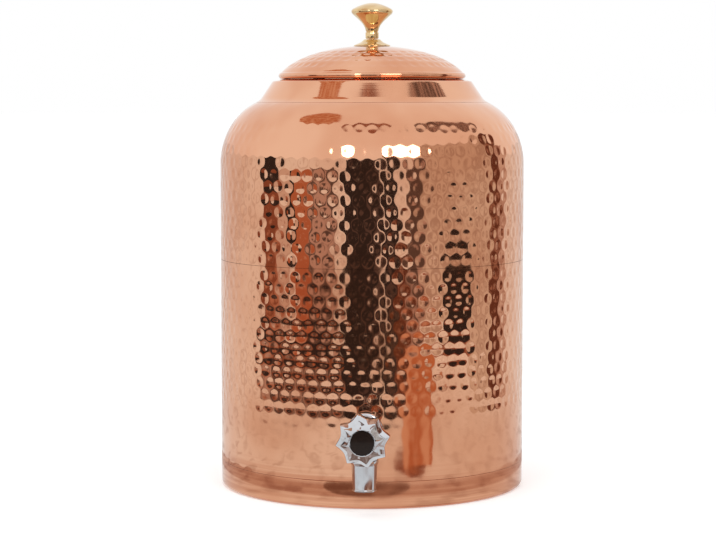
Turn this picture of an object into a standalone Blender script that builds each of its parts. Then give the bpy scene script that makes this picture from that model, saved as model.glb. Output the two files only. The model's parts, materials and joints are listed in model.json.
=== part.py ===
"""A hammered copper water dispenser: a sheet copper tank with a lift-off lid and a screw-down tap.

Metres, +Z up. The origin is the centre of the flat base, and the tap points along -Y. The tank and the lid
are turned about Z. The tap is turned about its own axis, on an empty whose local Z runs out of the tank.
"""

import math

import bmesh
import bpy
from mathutils import Matrix, Vector

# Sheet and fits, shared by every piece
SHEET = 0.0008
GAP = 0.0003
OVERRUN = 0.002
WELD_DISTANCE = 1e-7

# Tank
BODY_RADIUS = 0.1075
BASE_THICKNESS = 0.0012
BASE_CORNER = 0.0035
BASE_SKIRT = 0.0185
SEAM_HEIGHT = 0.161
LAP_LENGTH = 0.0065
JOGGLE_RISE = 0.0007
SHOULDER_START = 0.2280
SHOULDER_ACROSS = 0.0425
SHOULDER_UP = 0.0473
SHOULDER_ANGLE = math.radians(71.2)
TANK_SIDES = 52
SHOULDER_STEPS = 7
BEND_STEPS = 2

# Neck collar, which laps the shoulder and turns down into the mouth
NECK_LAP_ANGLE = math.radians(4.0)
NECK_RISE = 0.0132
NECK_DRAW_IN = 0.0079
NECK_CORNER = 0.0015
LEDGE_WIDTH = 0.0067
LEDGE_RISE = 0.0016
MOUTH_LIP = 0.0075
MOUTH_BEND = 0.0018

# Lid
LID_OVERHANG = 0.0021
LID_BEAD = 0.0022
DOME_RISE = 0.0190
DOME_OVERREACH = 0.0046
DOME_UP = 0.0291
LID_CURL = math.radians(300.0)
PLUG_CLEARANCE = 0.0022
PLUG_DROP = 0.0085
PLUG_FLANGE = 0.0040
LID_SIDES = 36
DOME_STEPS = 6
BEAD_STEPS = 8

# Lid knob, its rose and its screw
ROSE_RADIUS = 0.0130
ROSE_TOP_RADIUS = 0.0056
ROSE_HEIGHT = 0.0042
ROSE_EDGE = 0.0006
KNOB_RADIUS = 0.0150
KNOB_HEIGHT = 0.0253
KNOB_SIDES = 24
KNOB_RADIUS_SHARES = (0.36, 0.36, 0.30, 0.30, 0.35, 0.35, 0.30, 0.30, 0.36, 0.41, 0.52, 0.72,
                      0.94, 0.99, 1.00, 0.96, 0.82, 0.55, 0.27)
KNOB_HEIGHT_SHARES = (0.00, 0.03, 0.04, 0.06, 0.08, 0.16, 0.17, 0.19, 0.22, 0.32, 0.43, 0.55,
                      0.66, 0.70, 0.76, 0.82, 0.90, 0.96, 0.99)
LID_SCREW_RADIUS = 0.0019
LID_SCREW_BITE = 0.0090
LID_SCREW_HEAD = 0.0038
LID_SCREW_HEAD_HEIGHT = 0.0026
LID_SCREW_SLOT = 0.0009
LID_SCREW_SLOT_DEPTH = 0.0012
LID_WASHER_RADIUS = 0.0075
LID_WASHER_THICKNESS = 0.0010

# Tap casting, from the tail inside the tank to the open front of the barrel
TAP_HEIGHT = 0.0540
TAIL_RADIUS = 0.0078
TAIL_INSIDE = 0.0175
WALL_HOLE_CLEARANCE = 0.0005
FLANGE_RADIUS = 0.0120
FLANGE_THICKNESS = 0.0030
FLANGE_EDGE = 0.0008
BARREL_RADIUS = 0.0105
BARREL_LENGTH = 0.0270
INLET_RADIUS = 0.0050
SEAT_SETBACK = 0.0050
SEAT_HEIGHT = 0.0010
SEAT_WIDTH = 0.0012
CHAMBER_RADIUS = 0.0078
TAP_SIDES = 24

# Spout and the boss that holds it
SPOUT_FRONT_MARGIN = 0.0036
BOSS_RADIUS = 0.0094
BOSS_DROP = 0.0165
BOSS_EDGE = 0.0008
SPOUT_SIDES = 8
SPOUT_COLLAR = 0.0016
SPOUT_CORNER = 0.0086
SPOUT_TAPER = 0.0009
SPOUT_LENGTH = 0.0205
SPOUT_BORE = 0.0053
SPOUT_WALL = 0.0014
SPOUT_TONGUE = 0.0060
SPOUT_LIP = 0.0004
SPOUT_LIP_HEIGHT = 0.0014

# Gaskets, washer and nut that clamp the tap to the wall
OUTER_GASKET_RADIUS = 0.0116
OUTER_GASKET_THICKNESS = 0.0025
INNER_GASKET_RADIUS = 0.0132
INNER_GASKET_THICKNESS = 0.0028
CLAMP_WASHER_RADIUS = 0.0128
CLAMP_WASHER_THICKNESS = 0.0010
NUT_ACROSS_CORNERS = 0.0250
NUT_THICKNESS = 0.0060
NUT_CHAMFER = 0.0008

# Bonnet with its seal, screwed into the front of the barrel
BONNET_SEAL_THICKNESS = 0.0010
BONNET_PLUG_LENGTH = 0.0060
BONNET_ACROSS_CORNERS = 0.0198
BONNET_HEX_LENGTH = 0.0060
BONNET_CHAMFER = 0.0008

# Valve: the jumper with its washer slides, and the spindle turns in the bonnet
VALVE_WASHER_RADIUS = 0.0065
VALVE_WASHER_THICKNESS = 0.0022
JUMPER_RADIUS = 0.0062
JUMPER_THICKNESS = 0.0018
JUMPER_PIN_RADIUS = 0.0016
JUMPER_STEM_RADIUS = 0.0017
JUMPER_STEM_LENGTH = 0.0045
SPINDLE_RADIUS = 0.0034
SPINDLE_CLEARANCE = 0.0005
SPINDLE_SQUARE_LENGTH = 0.0042
O_RING_THICKNESS = 0.0010
O_RING_SETBACK = 0.0042
O_RING_FACETS = 6
VALVE_SIDES = 16

# Star knob of the tap
STAR_LOBES = 8
STAR_TURN = math.radians(10.0)
STAR_RADIUS = 0.0178
STAR_FLUTE = 0.0032
STAR_FLANK = 0.0050
STAR_FACE_RADIUS = 0.0143
STAR_FACE_FLUTE = 0.0028
STAR_POINTS_PER_LOBE = 6
STAR_LENGTH = 0.0165
STAR_CROWN = 0.0040
STAR_RING_WIDTH = 0.0007
STAR_RING_HEIGHT = 0.0005
STAR_BACK_CLEARANCE = 0.0013
STAR_BACK_DEPTH = 0.0060
STAR_BONNET_OVERLAP = 0.0010
BADGE_RADIUS = 0.0078
BADGE_THICKNESS = 0.0014
BADGE_CROWN = 0.0004
BADGE_INSET = 0.0003
HANDLE_SCREW_RADIUS = 0.0013
HANDLE_SCREW_HEAD = 0.0028
HANDLE_SCREW_HEAD_HEIGHT = 0.0018
HANDLE_SCREW_LENGTH = 0.0065

# Heights and distances worked out from the sizes above
SKIRT_JOINT = BASE_SKIRT + GAP
NECK_BASE_RADIUS = BODY_RADIUS - SHOULDER_ACROSS * (1 - math.cos(SHOULDER_ANGLE))
NECK_BASE_HEIGHT = SHOULDER_START + SHOULDER_UP * math.sin(SHOULDER_ANGLE)
NECK_TOP_RADIUS = NECK_BASE_RADIUS - NECK_DRAW_IN
NECK_TOP_HEIGHT = NECK_BASE_HEIGHT + NECK_RISE
MOUTH_CREST_RADIUS = NECK_TOP_RADIUS - LEDGE_WIDTH
MOUTH_CREST_HEIGHT = NECK_TOP_HEIGHT + LEDGE_RISE
MOUTH_RADIUS = MOUTH_CREST_RADIUS - MOUTH_BEND
LID_RADIUS = MOUTH_CREST_RADIUS + LID_OVERHANG
BEAD_CENTRE_RADIUS = LID_RADIUS - LID_BEAD
# The bead stands on the bend at the mouth's crest, a gap above it
BEAD_CENTRE_HEIGHT = MOUTH_CREST_HEIGHT + GAP + LID_BEAD
LID_SCREW_HOLE = LID_SCREW_RADIUS + GAP
LID_TOP = BEAD_CENTRE_HEIGHT + LID_BEAD + DOME_RISE
DOME_ACROSS = BEAD_CENTRE_RADIUS + DOME_OVERREACH
DOME_CENTRE_HEIGHT = LID_TOP - DOME_UP
ROSE_TOP = LID_TOP + GAP + ROSE_HEIGHT
KNOB_BASE = ROSE_TOP + GAP

FLANGE_BACK = BODY_RADIUS + GAP + OUTER_GASKET_THICKNESS + GAP
BARREL_BACK = FLANGE_BACK + FLANGE_THICKNESS
BARREL_FRONT = BARREL_BACK + BARREL_LENGTH
SEAT_FACE = BARREL_BACK + SEAT_SETBACK
SPOUT_AXIS = BARREL_FRONT - SPOUT_FRONT_MARGIN - BOSS_RADIUS
TAIL_END = BODY_RADIUS - SHEET - TAIL_INSIDE
INNER_GASKET_FACE = BODY_RADIUS - SHEET - GAP - INNER_GASKET_THICKNESS
CLAMP_WASHER_FACE = INNER_GASKET_FACE - GAP
NUT_FACE = CLAMP_WASHER_FACE - CLAMP_WASHER_THICKNESS - GAP
BONNET_BACK = BARREL_FRONT + GAP + BONNET_SEAL_THICKNESS + GAP
BONNET_FRONT = BONNET_BACK + BONNET_HEX_LENGTH
WASHER_BACK = SEAT_FACE + GAP
JUMPER_BACK = WASHER_BACK + VALVE_WASHER_THICKNESS + GAP
JUMPER_FRONT = JUMPER_BACK + JUMPER_THICKNESS
SPINDLE_BACK = JUMPER_FRONT + GAP
BONNET_BORE = SPINDLE_RADIUS + SPINDLE_CLEARANCE
STAR_RING_RADIUS = BADGE_RADIUS + GAP + STAR_RING_WIDTH
STAR_BACK = BONNET_FRONT - STAR_BONNET_OVERLAP
STAR_FLOOR = STAR_BACK + STAR_BACK_DEPTH
STAR_FRONT = STAR_BACK + STAR_LENGTH
BADGE_FLOOR = STAR_FRONT - BADGE_INSET - BADGE_THICKNESS - GAP
COUNTERBORE_FLOOR = BADGE_FLOOR - GAP - HANDLE_SCREW_HEAD_HEIGHT
SPINDLE_SHOULDER = STAR_FLOOR - GAP
SPINDLE_FRONT = SPINDLE_SHOULDER + SPINDLE_SQUARE_LENGTH


def clear_scene():
    for obj in list(bpy.data.objects):
        bpy.data.objects.remove(obj, do_unlink=True)


def material(name, colour, roughness, metallic):
    """A plain Principled finish."""
    made = bpy.data.materials.new(name)
    made.use_nodes = True
    shader = made.node_tree.nodes["Principled BSDF"]
    shader.inputs["Base Color"].default_value = (*colour, 1.0)
    shader.inputs["Roughness"].default_value = roughness
    shader.inputs["Metallic"].default_value = metallic
    return made


def empty(name, location, rotation=(0, 0, 0)):
    """An axis that pieces are parented to."""
    made = bpy.data.objects.new(name, None)
    made.location = location
    made.rotation_euler = rotation
    bpy.context.scene.collection.objects.link(made)
    return made


def finish(name, bm, finish_material, parent):
    """Turns a bmesh into a named, smooth-shaded object on its parent's axis."""
    bmesh.ops.recalc_face_normals(bm, faces=bm.faces)
    mesh = bpy.data.meshes.new(name)
    bm.to_mesh(mesh)
    bm.free()
    mesh.shade_smooth()
    mesh.set_sharp_from_angle(angle=math.radians(35.0))
    made = bpy.data.objects.new(name, mesh)
    bpy.context.scene.collection.objects.link(made)
    made.parent = parent
    if finish_material:
        mesh.materials.append(finish_material)
    return made


def arc(centre, across, up, start, end, steps):
    """Points (radius, height) along an elliptical arc."""
    angles = [start + (end - start) * i / steps for i in range(steps + 1)]
    return [(centre[0] + across * math.cos(a), centre[1] + up * math.sin(a)) for a in angles]


def bend(corner, before, after, radius, steps):
    """The round that replaces the corner between two straight runs of a line."""
    corner, before, after = Vector(corner), Vector(before), Vector(after)
    back, ahead = (before - corner).normalized(), (after - corner).normalized()
    half = back.angle(ahead) / 2
    centre = corner + (back + ahead).normalized() * (radius / math.sin(half))
    start = corner + back * (radius / math.tan(half)) - centre
    end = corner + ahead * (radius / math.tan(half)) - centre
    sweep = start.angle_signed(end)
    return [tuple(centre + Matrix.Rotation(-sweep * i / steps, 2) @ start) for i in range(steps + 1)]


def offset(line, thickness):
    """The line moved to its right by a sheet's thickness, with its corners mitred."""
    points = [Vector(p) for p in line]
    inner = []
    for i, point in enumerate(points):
        runs = []
        if i:
            runs.append((point - points[i - 1]).normalized())
        if i < len(points) - 1:
            runs.append((points[i + 1] - point).normalized())
        sides = [Vector((run.y, -run.x)) for run in runs]
        across = sum(sides, Vector((0, 0))).normalized()
        inner.append(tuple(point + across * (thickness / across.dot(sides[0]))))
    return inner


def sheet(line, thickness):
    """The closed section of a sheet whose outer face is this line, with the metal on the line's right."""
    return line + offset(line, thickness)[::-1]


def height_on(line, radius):
    """The height of a line that runs outwards, where it passes this radius."""
    for (near, near_height), (far, far_height) in zip(line, line[1:]):
        if radius <= far:
            break
    return near_height + (far_height - near_height) * (radius - near) / (far - near)


def turned(name, section, finish_material, parent, sides, turn=0):
    """A closed (radius, height) section swept once round the parent's Z axis, starting at the turn."""
    bm = bmesh.new()
    verts = [bm.verts.new((radius * math.cos(turn), radius * math.sin(turn), height)) for radius, height in section]
    edges = [bm.edges.new((a, b)) for a, b in zip(verts, verts[1:] + verts[:1])]
    bmesh.ops.spin(
        bm, geom=verts + edges, cent=(0, 0, 0), axis=(0, 0, 1), angle=math.tau, steps=sides, use_merge=True
    )
    bmesh.ops.remove_doubles(bm, verts=bm.verts, dist=WELD_DISTANCE)
    # A run of the section that lies on the axis sweeps no face
    bmesh.ops.delete(bm, geom=[e for e in bm.edges if not e.link_faces], context="EDGES")
    return finish(name, bm, finish_material, parent)


def prism(name, outline, low, high, finish_material, parent, chamfer=0):
    """An outline of (x, y) points raised from low to high, with its two rims chamfered."""
    bm = bmesh.new()
    face = bm.faces.new([bm.verts.new((x, y, low)) for x, y in outline])
    raised = bmesh.ops.extrude_face_region(bm, geom=[face])["geom"]
    moved = [v for v in raised if isinstance(v, bmesh.types.BMVert)]
    bmesh.ops.translate(bm, verts=moved, vec=(0, 0, high - low))
    if chamfer:
        rims = [e for e in bm.edges if e.verts[0].co.z == e.verts[1].co.z]
        bmesh.ops.bevel(bm, geom=rims, offset=chamfer, segments=1, affect="EDGES")
    return finish(name, bm, finish_material, parent)


def regular(corners, radius, turn=0):
    """The corners of a regular outline."""
    return [
        (radius * math.cos(turn + math.tau * i / corners), radius * math.sin(turn + math.tau * i / corners))
        for i in range(corners)
    ]


def boolean(target, other, operation):
    """Adds an exact Boolean and hides the piece that it reads."""
    modifier = target.modifiers.new(operation.title() + " " + other.name, "BOOLEAN")
    modifier.operation = operation
    modifier.solver = "EXACT"
    modifier.object = other
    other.hide_render = True
    other.display_type = "WIRE"
    return target


def cutter(name, radius, low, high, parent, sides=TAP_SIDES, rotation=(0, 0, 0), location=(0, 0, 0)):
    """A plain round cutter along the parent's Z axis, or turned away from it."""
    section = [(0, low), (radius, low), (radius, high), (0, high)]
    made = turned(name, section, None, parent, sides)
    made.rotation_euler = rotation
    made.location = location
    return made


def star(radius, flute):
    """The knob's outline: pointed lobes with round flutes between them."""
    count = STAR_LOBES * STAR_POINTS_PER_LOBE
    points = []
    for i in range(count):
        turn = math.tau * i / count
        reach = radius - flute * abs(math.sin(STAR_LOBES * turn / 2))
        points.append((reach * math.cos(turn + STAR_TURN), reach * math.sin(turn + STAR_TURN)))
    return points


def lofted(name, stations, finish_material, parent):
    """Skins outlines of equal count, each at its own height, and closes both ends."""
    bm = bmesh.new()
    rings = [[bm.verts.new((x, y, height)) for x, y in outline] for outline, height in stations]
    for lower, upper in zip(rings, rings[1:]):
        for i, vert in enumerate(lower):
            following = (i + 1) % len(lower)
            bm.faces.new((vert, lower[following], upper[following], upper[i]))
    bm.faces.new(rings[0])
    bm.faces.new(rings[-1])
    return finish(name, bm, finish_material, parent)


def ring(inner, outer, low, high, edge=0):
    """The section of a flat ring, with its outer rims chamfered by edge."""
    if not edge:
        return [(inner, low), (outer, low), (outer, high), (inner, high)]
    return [
        (inner, low), (outer - edge, low), (outer, low + edge),
        (outer, high - edge), (outer - edge, high), (inner, high),
    ]


def build_tank(axis, copper):
    """Base pan, two shells joined by joggled laps, and the neck collar."""
    radius, tongue = BODY_RADIUS, BODY_RADIUS - SHEET - GAP
    quarter = math.pi / 2
    corner = (radius - BASE_CORNER, BASE_CORNER)
    inside = BASE_CORNER - BASE_THICKNESS
    pan = [(0, 0)]
    pan += arc(corner, BASE_CORNER, BASE_CORNER, -quarter, 0, BEND_STEPS + 1)
    pan += [(radius, BASE_SKIRT), (radius - SHEET, BASE_SKIRT)]
    pan += arc(corner, BASE_CORNER - SHEET, inside, 0, -quarter, BEND_STEPS + 1)
    pan += [(0, BASE_THICKNESS)]
    turned("base_pan", pan, copper, axis, TANK_SIDES)

    lower = [
        (tongue, SEAM_HEIGHT + LAP_LENGTH), (tongue, SEAM_HEIGHT),
        (radius, SEAM_HEIGHT - JOGGLE_RISE), (radius, SKIRT_JOINT + JOGGLE_RISE),
        (tongue, SKIRT_JOINT), (tongue, SKIRT_JOINT - LAP_LENGTH),
    ]
    lower_shell = turned("lower_shell", sheet(lower, SHEET), copper, axis, TANK_SIDES)

    shoulder_centre = (radius - SHOULDER_ACROSS, SHOULDER_START)
    shoulder = arc(shoulder_centre, SHOULDER_ACROSS, SHOULDER_UP, SHOULDER_ANGLE, 0, SHOULDER_STEPS)
    upper = shoulder + [(radius, SEAM_HEIGHT + GAP)]
    turned("upper_shell", sheet(upper, SHEET), copper, axis, TANK_SIDES)

    # The collar's foot follows the shoulder, one sheet and a gap outside it
    proud = SHEET + GAP
    foot_angles = (SHOULDER_ANGLE, SHOULDER_ANGLE - NECK_LAP_ANGLE)
    foot = [arc(shoulder_centre, SHOULDER_ACROSS + proud, SHOULDER_UP + proud, a, a, 1)[0] for a in foot_angles]
    top = (NECK_TOP_RADIUS, NECK_TOP_HEIGHT)
    crest = (MOUTH_CREST_RADIUS, MOUTH_CREST_HEIGHT)
    lip_top = (MOUTH_RADIUS, MOUTH_CREST_HEIGHT - MOUTH_BEND)
    lip_end = (MOUTH_RADIUS, MOUTH_CREST_HEIGHT - MOUTH_LIP)
    collar = [lip_end, lip_top]
    collar += arc((MOUTH_CREST_RADIUS, lip_top[1]), MOUTH_BEND, MOUTH_BEND, math.pi, quarter, BEND_STEPS)[1:]
    collar += bend(top, crest, foot[0], NECK_CORNER, BEND_STEPS)
    collar += foot
    turned("neck_collar", sheet(collar, SHEET), copper, axis, TANK_SIDES)
    return lower_shell


def build_lid(axis, copper, brass, steel):
    """Dome with a curled rim, plug ring, and the brass knob on its rose and screw."""
    quarter = math.pi / 2
    # The dome is a low ellipse that runs into the crest of the bead
    start = math.acos(LID_SCREW_HOLE / DOME_ACROSS)
    end = math.acos(BEAD_CENTRE_RADIUS / DOME_ACROSS)
    dome = arc((0, DOME_CENTRE_HEIGHT), DOME_ACROSS, DOME_UP, start, end, DOME_STEPS)
    underside = offset(dome, SHEET)
    bead = arc(
        (BEAD_CENTRE_RADIUS, BEAD_CENTRE_HEIGHT), LID_BEAD, LID_BEAD, quarter, quarter - LID_CURL, BEAD_STEPS
    )
    turned("lid_dome", sheet(dome + bead[1:], SHEET), copper, axis, LID_SIDES)

    plug_radius = MOUTH_RADIUS - PLUG_CLEARANCE
    flange_edge = plug_radius - PLUG_FLANGE
    plug = [
        (flange_edge, height_on(underside, flange_edge) - GAP),
        (plug_radius, height_on(underside, plug_radius) - GAP),
        (plug_radius, MOUTH_CREST_HEIGHT - PLUG_DROP),
    ]
    turned("lid_plug_ring", sheet(plug, SHEET), copper, axis, LID_SIDES)

    rose_seat = [(r, height_on(dome, r) + GAP) for r in (LID_SCREW_HOLE, ROSE_RADIUS)]
    rose = rose_seat + [
        (ROSE_RADIUS, rose_seat[-1][1] + ROSE_EDGE), (ROSE_TOP_RADIUS, ROSE_TOP), (LID_SCREW_HOLE, ROSE_TOP),
    ]
    turned("knob_rose", rose, brass, axis, KNOB_SIDES)

    bore_end = KNOB_BASE + LID_SCREW_BITE + GAP
    knob = [(LID_SCREW_HOLE, KNOB_BASE)]
    knob += [(r * KNOB_RADIUS, KNOB_BASE + h * KNOB_HEIGHT) for r, h in zip(KNOB_RADIUS_SHARES, KNOB_HEIGHT_SHARES)]
    knob += [(0, KNOB_BASE + KNOB_HEIGHT), (0, bore_end), (LID_SCREW_HOLE, bore_end)]
    turned("lid_knob", knob, brass, axis, KNOB_SIDES)

    washer_top = height_on(underside, LID_WASHER_RADIUS) - GAP
    washer_base = washer_top - LID_WASHER_THICKNESS
    washer = ring(LID_SCREW_HOLE, LID_WASHER_RADIUS, washer_base, washer_top)
    turned("lid_knob_washer", washer, steel, axis, VALVE_SIDES)

    head_top = washer_base - GAP
    head_base = head_top - LID_SCREW_HEAD_HEIGHT
    screw = [(0, head_base)]
    screw += arc((0, head_top), LID_SCREW_HEAD, LID_SCREW_HEAD_HEIGHT, -quarter, 0, BEND_STEPS + 1)[1:]
    screw += [(LID_SCREW_RADIUS, head_top), (LID_SCREW_RADIUS, KNOB_BASE + LID_SCREW_BITE)]
    screw += [(0, KNOB_BASE + LID_SCREW_BITE)]
    screw = turned("lid_knob_screw", screw, steel, axis, VALVE_SIDES)
    half, reach = LID_SCREW_SLOT / 2, LID_SCREW_HEAD + OVERRUN
    outline = [(-reach, -half), (reach, -half), (reach, half), (-reach, half)]
    slot = prism("cut_screw_slot", outline, head_base - OVERRUN, head_base + LID_SCREW_SLOT_DEPTH, None, axis)
    boolean(screw, slot, "DIFFERENCE")


def build_tap(axis, chrome, rubber, steel, lower_shell):
    """The casting, its spout, and what clamps it to the tank wall."""
    quarter = math.pi / 2
    casting = [
        (0, TAIL_END), (TAIL_RADIUS, TAIL_END), (TAIL_RADIUS, FLANGE_BACK),
        (FLANGE_RADIUS, FLANGE_BACK), (FLANGE_RADIUS, BARREL_BACK - FLANGE_EDGE),
        (FLANGE_RADIUS - FLANGE_EDGE, BARREL_BACK), (BARREL_RADIUS, BARREL_BACK),
        (BARREL_RADIUS, BARREL_FRONT), (0, BARREL_FRONT),
    ]
    body = turned("tap_body", casting, chrome, axis, TAP_SIDES)
    # Local Y is up, so the boss and the spout hang along local -Y
    down = (quarter, 0, 0)
    at_spout = (0, 0, SPOUT_AXIS)
    # The boss starts inside the barrel, just below its axis
    boss_start = BARREL_RADIUS - BOSS_RADIUS
    boss_section = [
        (0, boss_start), (BOSS_RADIUS, boss_start), (BOSS_RADIUS, BOSS_DROP - BOSS_EDGE),
        (BOSS_RADIUS - BOSS_EDGE, BOSS_DROP), (0, BOSS_DROP),
    ]
    boss = turned("add_spout_boss", boss_section, None, axis, TAP_SIDES)
    boss.rotation_euler, boss.location = down, at_spout
    boolean(body, boss, "UNION")
    # The waterway leaves a raised ring round the inlet, which the valve washer closes on
    seat_outer, seat_floor = INLET_RADIUS + SEAT_WIDTH, SEAT_FACE - SEAT_HEIGHT
    waterway = [
        (0, TAIL_END - OVERRUN), (INLET_RADIUS, TAIL_END - OVERRUN), (INLET_RADIUS, SEAT_FACE),
        (seat_outer, SEAT_FACE), (seat_outer, seat_floor), (CHAMBER_RADIUS, seat_floor),
        (CHAMBER_RADIUS, BARREL_FRONT + OVERRUN), (0, BARREL_FRONT + OVERRUN),
    ]
    boolean(body, turned("cut_waterway", waterway, None, axis, TAP_SIDES), "DIFFERENCE")
    socket = SPOUT_BORE + SPOUT_WALL + GAP
    low = boss_start + GAP
    hole = cutter("cut_spout_socket", socket, low, BOSS_DROP + OVERRUN, axis, TAP_SIDES, down, at_spout)
    boolean(body, hole, "DIFFERENCE")

    shoulder, end = BOSS_DROP + GAP, BOSS_DROP + GAP + SPOUT_LENGTH
    lip_start, corner = end - SPOUT_LIP_HEIGHT, SPOUT_CORNER - SPOUT_TAPER
    profile = [
        (0, shoulder), (BOSS_RADIUS, shoulder), (BOSS_RADIUS, shoulder + SPOUT_COLLAR),
        (SPOUT_CORNER, shoulder + 2 * SPOUT_COLLAR), (corner, lip_start),
        (corner + SPOUT_LIP, lip_start + SPOUT_LIP), (corner + SPOUT_LIP, end), (0, end),
    ]
    # Eight sides give the spout its flats, with an edge between two of them at the front
    spout = turned("tap_spout", profile, chrome, axis, SPOUT_SIDES)
    spout.rotation_euler, spout.location = down, at_spout
    low, inside_collar = shoulder - SPOUT_TONGUE, shoulder + SPOUT_COLLAR
    tongue = cutter("add_spout_tongue", SPOUT_BORE + SPOUT_WALL, low, inside_collar, axis, TAP_SIDES, down, at_spout)
    boolean(spout, tongue, "UNION")
    bore = cutter("cut_spout_bore", SPOUT_BORE, low - OVERRUN, end + OVERRUN, axis, TAP_SIDES, down, at_spout)
    boolean(spout, bore, "DIFFERENCE")

    wall_hole = TAIL_RADIUS + WALL_HOLE_CLEARANCE
    drill = cutter("cut_wall_hole", wall_hole, TAIL_END, FLANGE_BACK, axis)
    boolean(lower_shell, drill, "DIFFERENCE")

    # Both gaskets are moulded to the wall, so a wide cylinder about the tank's axis shapes each
    height = OUTER_GASKET_RADIUS + OVERRUN
    outside = cutter("cut_wall_outside", BODY_RADIUS + GAP, -height, height, axis, TANK_SIDES, down)
    section = ring(wall_hole, OUTER_GASKET_RADIUS, TAIL_END, BODY_RADIUS + GAP + OUTER_GASKET_THICKNESS)
    gasket = turned("outer_gasket", section, rubber, axis, TAP_SIDES)
    boolean(gasket, outside, "DIFFERENCE")
    inside = cutter("cut_wall_inside", BODY_RADIUS - SHEET - GAP, -height, height, axis, TANK_SIDES, down)
    section = ring(wall_hole, INNER_GASKET_RADIUS, INNER_GASKET_FACE, FLANGE_BACK)
    gasket = turned("inner_gasket", section, rubber, axis, TAP_SIDES)
    boolean(gasket, inside, "INTERSECT")

    bore = TAIL_RADIUS + GAP
    back = CLAMP_WASHER_FACE - CLAMP_WASHER_THICKNESS
    washer = ring(bore, CLAMP_WASHER_RADIUS, back, CLAMP_WASHER_FACE)
    turned("clamp_washer", washer, steel, axis, TAP_SIDES)
    hexagon = regular(6, NUT_ACROSS_CORNERS / 2)
    nut = prism("lock_nut", hexagon, NUT_FACE - NUT_THICKNESS, NUT_FACE, steel, axis, NUT_CHAMFER)
    low, high = NUT_FACE - NUT_THICKNESS - OVERRUN, NUT_FACE + OVERRUN
    boolean(nut, cutter("cut_nut_bore", bore, low, high, axis), "DIFFERENCE")


def build_bonnet(axis, chrome, rubber):
    """The hexagon that closes the barrel and guides the spindle, on its seal."""
    plug_radius = CHAMBER_RADIUS - GAP
    seal = ring(plug_radius + GAP, BARREL_RADIUS - GAP, BARREL_FRONT + GAP, BARREL_FRONT + GAP + BONNET_SEAL_THICKNESS)
    turned("bonnet_seal", seal, rubber, axis, TAP_SIDES)
    hexagon = regular(6, BONNET_ACROSS_CORNERS / 2)
    bonnet = prism("bonnet", hexagon, BONNET_BACK, BONNET_FRONT, chrome, axis, BONNET_CHAMFER)
    plug_back, inside_hexagon = BARREL_FRONT - BONNET_PLUG_LENGTH, (BONNET_BACK + BONNET_FRONT) / 2
    boolean(bonnet, cutter("add_bonnet_plug", plug_radius, plug_back, inside_hexagon, axis), "UNION")
    low, high = plug_back - OVERRUN, BONNET_FRONT + OVERRUN
    boolean(bonnet, cutter("cut_bonnet_bore", BONNET_BORE, low, high, axis), "DIFFERENCE")


def build_valve(axis, brass, rubber):
    """The jumper and washer that close on the seat, and the spindle that drives them."""
    pin = JUMPER_PIN_RADIUS
    jumper = [
        (0, WASHER_BACK + GAP), (pin, WASHER_BACK + GAP), (pin, JUMPER_BACK), (JUMPER_RADIUS, JUMPER_BACK),
        (JUMPER_RADIUS, JUMPER_FRONT), (JUMPER_STEM_RADIUS, JUMPER_FRONT),
        (JUMPER_STEM_RADIUS, JUMPER_FRONT + JUMPER_STEM_LENGTH), (0, JUMPER_FRONT + JUMPER_STEM_LENGTH),
    ]
    turned("jumper", jumper, brass, axis, VALVE_SIDES)
    washer = ring(pin + GAP, VALVE_WASHER_RADIUS, WASHER_BACK, WASHER_BACK + VALVE_WASHER_THICKNESS)
    turned("valve_washer", washer, rubber, axis, VALVE_SIDES)

    # The groove leaves the ring a gap all round, and the ring stays inside the bonnet when the valve is open
    ring_radius = BONNET_BORE - GAP - O_RING_THICKNESS / 2
    ring_place = BONNET_FRONT - O_RING_SETBACK
    groove = ring_radius - O_RING_THICKNESS / 2 - GAP
    groove_half = O_RING_THICKNESS / 2 + GAP
    socket, socket_end = JUMPER_STEM_RADIUS + GAP, JUMPER_FRONT + JUMPER_STEM_LENGTH + GAP
    screw_hole = HANDLE_SCREW_RADIUS + GAP
    spindle = [
        (socket, SPINDLE_BACK), (SPINDLE_RADIUS, SPINDLE_BACK), (SPINDLE_RADIUS, ring_place - groove_half),
        (groove, ring_place - groove_half), (groove, ring_place + groove_half),
        (SPINDLE_RADIUS, ring_place + groove_half), (SPINDLE_RADIUS, SPINDLE_SHOULDER),
        (0, SPINDLE_SHOULDER), (0, socket_end), (socket, socket_end),
    ]
    spindle = turned("spindle", spindle, brass, axis, VALVE_SIDES)
    square = regular(4, SPINDLE_RADIUS - GAP, math.radians(45.0))
    drive = prism("add_spindle_square", square, SPINDLE_SHOULDER - OVERRUN, SPINDLE_FRONT, None, axis)
    boolean(spindle, drive, "UNION")
    low = COUNTERBORE_FLOOR - HANDLE_SCREW_LENGTH - 2 * GAP
    hole = cutter("cut_spindle_screw_hole", screw_hole, low, SPINDLE_FRONT + OVERRUN, axis, VALVE_SIDES)
    boolean(spindle, hole, "DIFFERENCE")

    half = O_RING_THICKNESS / 2
    section = arc((ring_radius, ring_place), half, half, 0, math.tau, O_RING_FACETS)[:-1]
    turned("spindle_o_ring", section, rubber, axis, VALVE_SIDES)


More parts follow.
